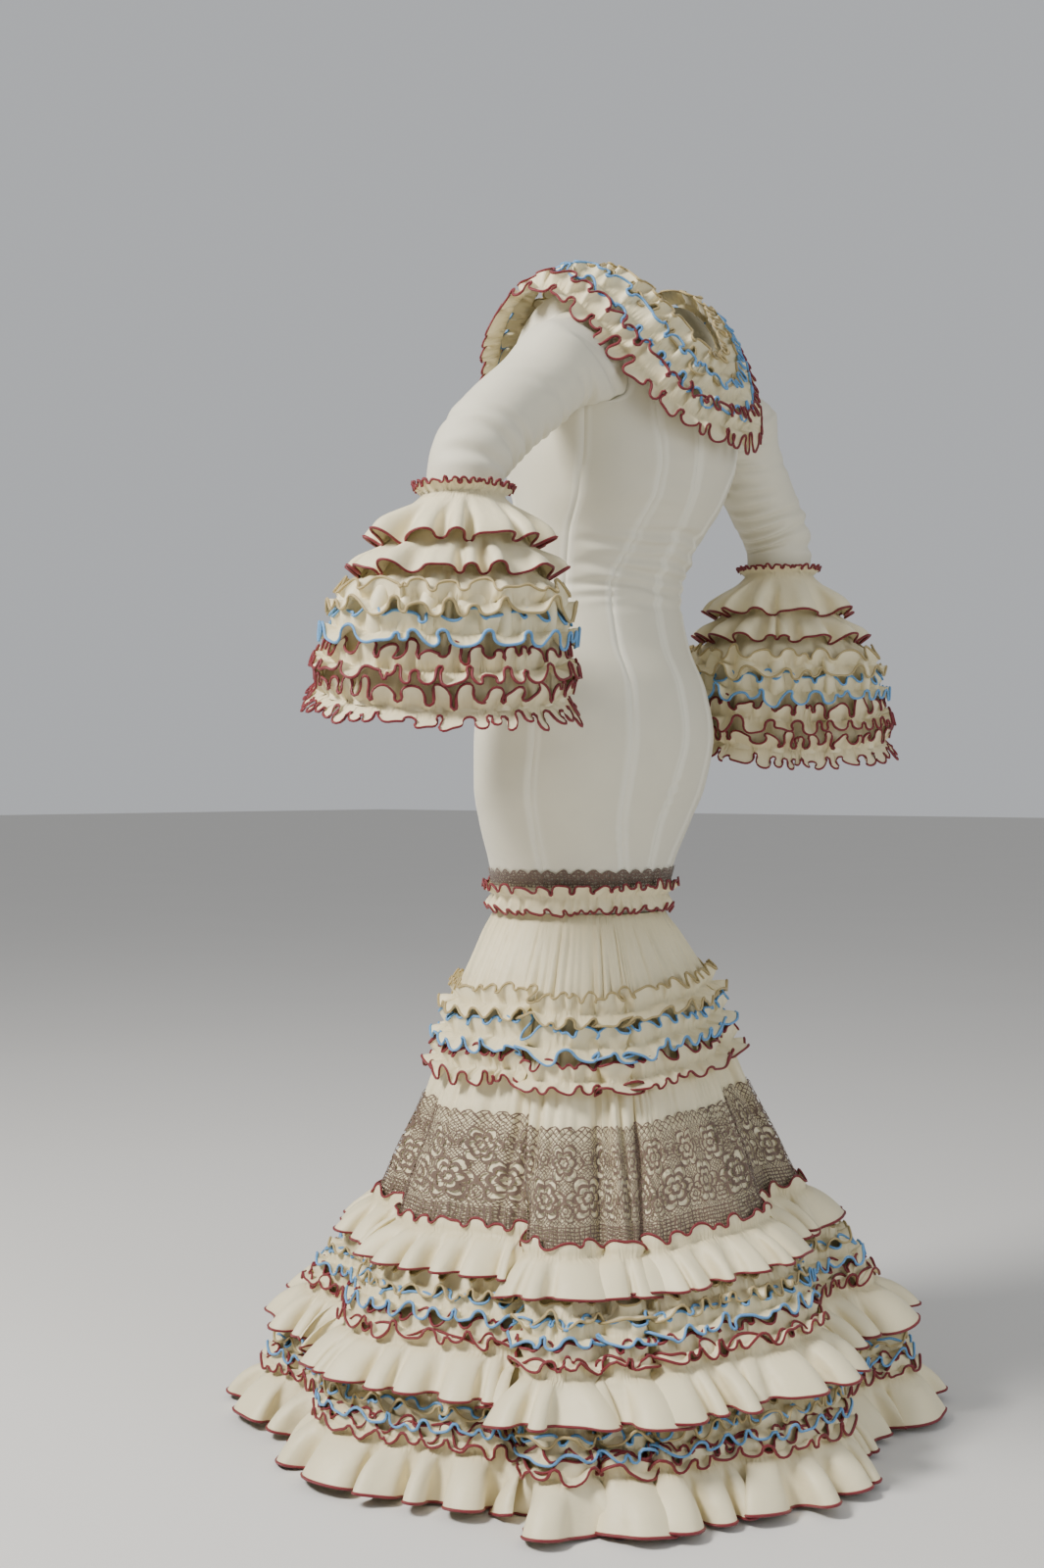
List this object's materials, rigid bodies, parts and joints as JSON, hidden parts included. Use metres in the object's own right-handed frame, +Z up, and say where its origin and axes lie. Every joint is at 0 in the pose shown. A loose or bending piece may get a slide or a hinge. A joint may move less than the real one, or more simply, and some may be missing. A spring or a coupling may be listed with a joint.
{
  "type": "flamenco dress",
  "caption": "Full-length fitted flamenco dress with a ruffled collar, long flounced sleeves and a flared, tiered skirt with lace and coloured ruches.",
  "frame": {"origin": "the middle of the shoulder line, level with the top of both armholes, where the wearer's shoulders hold the dress up", "axes": "+Z up, -Y the way the wearer faces, +X the wearer's left side"},
  "size_m": [1.0841, 0.9276, 1.5263],
  "materials": {
    "body_crepe": "matt ivory stretch crepe",
    "cream_cloth": "thin cream cloth with a soft sheen",
    "ruche_beige": "thin cream cloth, edges corded in old gold",
    "ruche_blue": "thin cream cloth, edges corded in sky blue",
    "ruche_red": "thin cream cloth, edges corded in dark red",
    "lace": "brown-grey net lace",
    "zip": "ivory lacquered pull"
  },
  "bodies": {
    "root": {"panel_centre_back_left": "body_crepe", "panel_centre_back_right": "body_crepe", "panel_side_back_left": "body_crepe", "panel_side_back_right": "body_crepe", "panel_side_front_left": "body_crepe", "panel_side_front_right": "body_crepe", "panel_centre_front": "body_crepe", "sleeve_left": "body_crepe", "sleeve_right": "body_crepe", "skirt_tier_upper": "cream_cloth", "skirt_tier_middle": "cream_cloth", "skirt_tier_lower": "cream_cloth", "flounce_upper": "cream_cloth", "flounce_middle": "cream_cloth", "flounce_hem": "cream_cloth", "sleeve_left_tier_short": "cream_cloth", "sleeve_left_tier_middle": "cream_cloth", "sleeve_left_tier_long": "cream_cloth", "sleeve_right_tier_short": "cream_cloth", "sleeve_right_tier_middle": "cream_cloth", "sleeve_right_tier_long": "cream_cloth", "collar_ruche_beige": "ruche_beige", "skirt_ruche_beige_upper": "ruche_beige", "skirt_ruche_beige_middle": "ruche_beige", "skirt_ruche_beige_lower": "ruche_beige", "sleeve_left_ruche_beige": "ruche_beige", "sleeve_right_ruche_beige": "ruche_beige", "collar_ruche_blue": "ruche_blue", "skirt_ruche_blue_upper": "ruche_blue", "skirt_ruche_blue_middle": "ruche_blue", "skirt_ruche_blue_lower": "ruche_blue", "sleeve_left_ruche_blue": "ruche_blue", "sleeve_right_ruche_blue": "ruche_blue", "collar_ruche_red": "ruche_red", "knee_ruche": "ruche_red", "skirt_ruche_red_upper": "ruche_red", "skirt_ruche_red_middle": "ruche_red", "skirt_ruche_red_lower": "ruche_red", "sleeve_left_ruche_red": "ruche_red", "sleeve_left_hem_ruffle": "ruche_red", "sleeve_right_ruche_red": "ruche_red", "sleeve_right_hem_ruffle": "ruche_red", "lace_band": "lace", "knee_lace": "lace", "zip_slider": "zip"}
  },
  "joints": []
}
